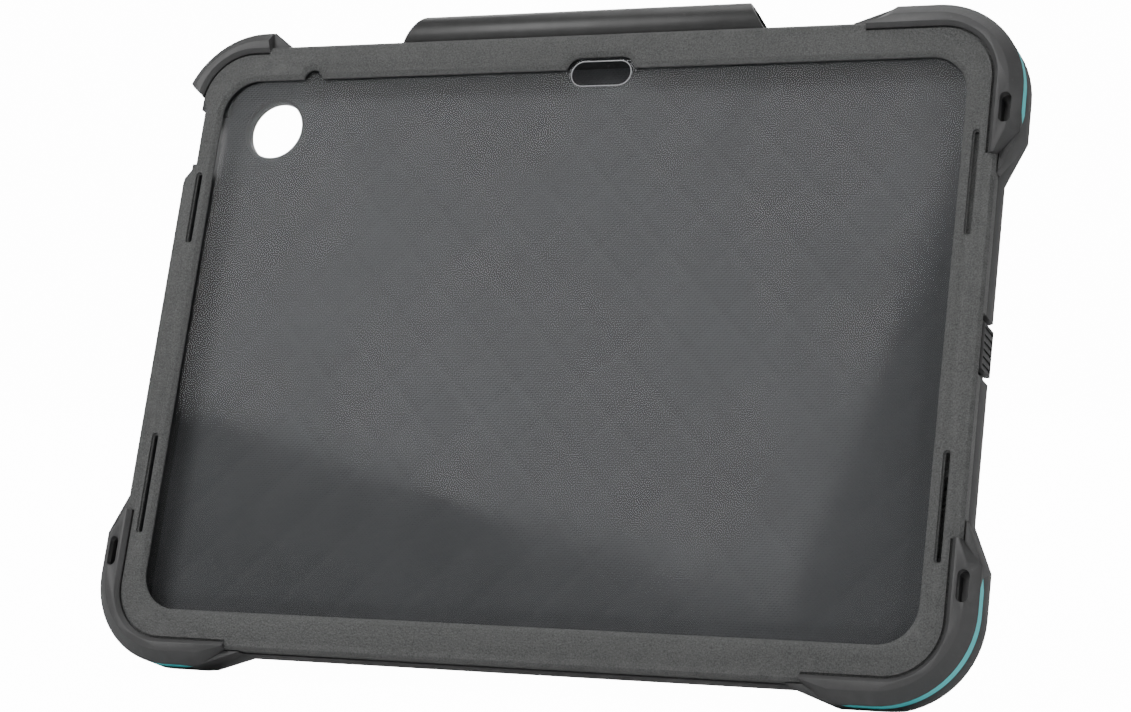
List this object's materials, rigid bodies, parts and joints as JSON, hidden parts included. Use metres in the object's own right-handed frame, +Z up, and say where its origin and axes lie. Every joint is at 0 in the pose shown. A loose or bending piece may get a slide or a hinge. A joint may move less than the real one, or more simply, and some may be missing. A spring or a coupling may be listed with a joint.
{
  "type": "tablet case",
  "caption": "Rugged tablet case: textured front frame with clear film, raised rubber corners with coloured stripes, stylus sleeve on top, swivel hand strap and kickstand behind.",
  "frame": {"origin": "middle of the box's bottom, on the surface that the case stands on", "axes": "+Z up, +X to the right as one faces the screen, +Y from the screen towards the back; the case leans back 18.2 degrees on its kickstand"},
  "size_m": [0.2752, 0.0964, 0.2003],
  "materials": {
    "frame_plastic": "fine moulded grain",
    "bumper_rubber": "smooth satin",
    "sleeve_rubber": "smooth satin",
    "stylus_rubber": "smooth satin",
    "accent_rubber": "satin",
    "shell_plastic": "fine moulded grain",
    "liner_cloth": "short-pile cloth",
    "pad_rubber": "matte",
    "clear_film": "clear gloss",
    "adhesive": "matte",
    "strap_webbing": "woven webbing",
    "strap_foam": "knitted cloth over foam",
    "dark_metal": "dark anodised",
    "screw_steel": "blackened steel",
    "nylon": "matte"
  },
  "bodies": {
    "case_back": {"back_shell": "shell_plastic", "shock_sleeve": "sleeve_rubber", "shell_liner": "liner_cloth", "camera_guard": "shell_plastic", "stylus_sleeve": "stylus_rubber", "friction_ring": "nylon", "accent_tl": "accent_rubber", "accent_tr": "accent_rubber", "accent_bl": "accent_rubber", "accent_br": "accent_rubber", "corner_pad_tl": "pad_rubber", "corner_pad_tr": "pad_rubber", "corner_pad_bl": "pad_rubber", "corner_pad_br": "pad_rubber"},
    "front": {"front_frame": "frame_plastic", "screen_film": "clear_film", "film_tape": "adhesive", "front_bumper_tl": "bumper_rubber", "front_bumper_tr": "bumper_rubber", "front_bumper_bl": "bumper_rubber", "front_bumper_br": "bumper_rubber"},
    "port_door": {"port_door": "sleeve_rubber"},
    "volume_up": {"volume_up_button": "sleeve_rubber"},
    "volume_down": {"volume_down_button": "sleeve_rubber"},
    "swivel": {"swivel_plate": "shell_plastic", "retaining_washer": "nylon", "swivel_screws": "screw_steel", "hand_strap": "strap_webbing", "strap_pad": "strap_foam", "strap_screws": "screw_steel", "strap_clamp_left": "dark_metal", "strap_clamp_right": "dark_metal", "hinge_pin_left": "screw_steel", "hinge_pin_right": "screw_steel", "hinge_washer_left": "nylon", "hinge_washer_right": "nylon"},
    "kickstand": {"kickstand_leg": "dark_metal", "kickstand_foot": "pad_rubber"}
  },
  "joints": [
    {"name": "front_lift", "type": "slide", "parent": "case_back", "child": "front", "axis": [0, -0.95, 0.3123], "range_m": [0, 0.06]},
    {"name": "port_door_hinge", "type": "hinge", "parent": "case_back", "child": "port_door", "pos_m": [0.13125, -0.00419, 0.09626], "axis": [0, 0.3123, 0.95], "range_deg": [0, 100]},
    {"name": "volume_up_press", "type": "slide", "parent": "case_back", "child": "volume_up", "axis": [0, -0.3123, -0.95], "range_m": [0, 0.0006], "stiffness_N_per_m": 900, "springref_m": -0.0006},
    {"name": "volume_down_press", "type": "slide", "parent": "case_back", "child": "volume_down", "axis": [0, -0.3123, -0.95], "range_m": [0, 0.0006], "stiffness_N_per_m": 900, "springref_m": -0.0006},
    {"name": "swivel_turn", "type": "hinge", "parent": "case_back", "child": "swivel", "pos_m": [0, 0.00018, 0.09483], "axis": [0, -0.95, 0.3123], "continuous": true},
    {"name": "kickstand_hinge", "type": "hinge", "parent": "swivel", "child": "kickstand", "pos_m": [0, 0.00763, 0.11974], "axis": [1, 0, 0], "range_deg": [-35.97, 24]}
  ]
}
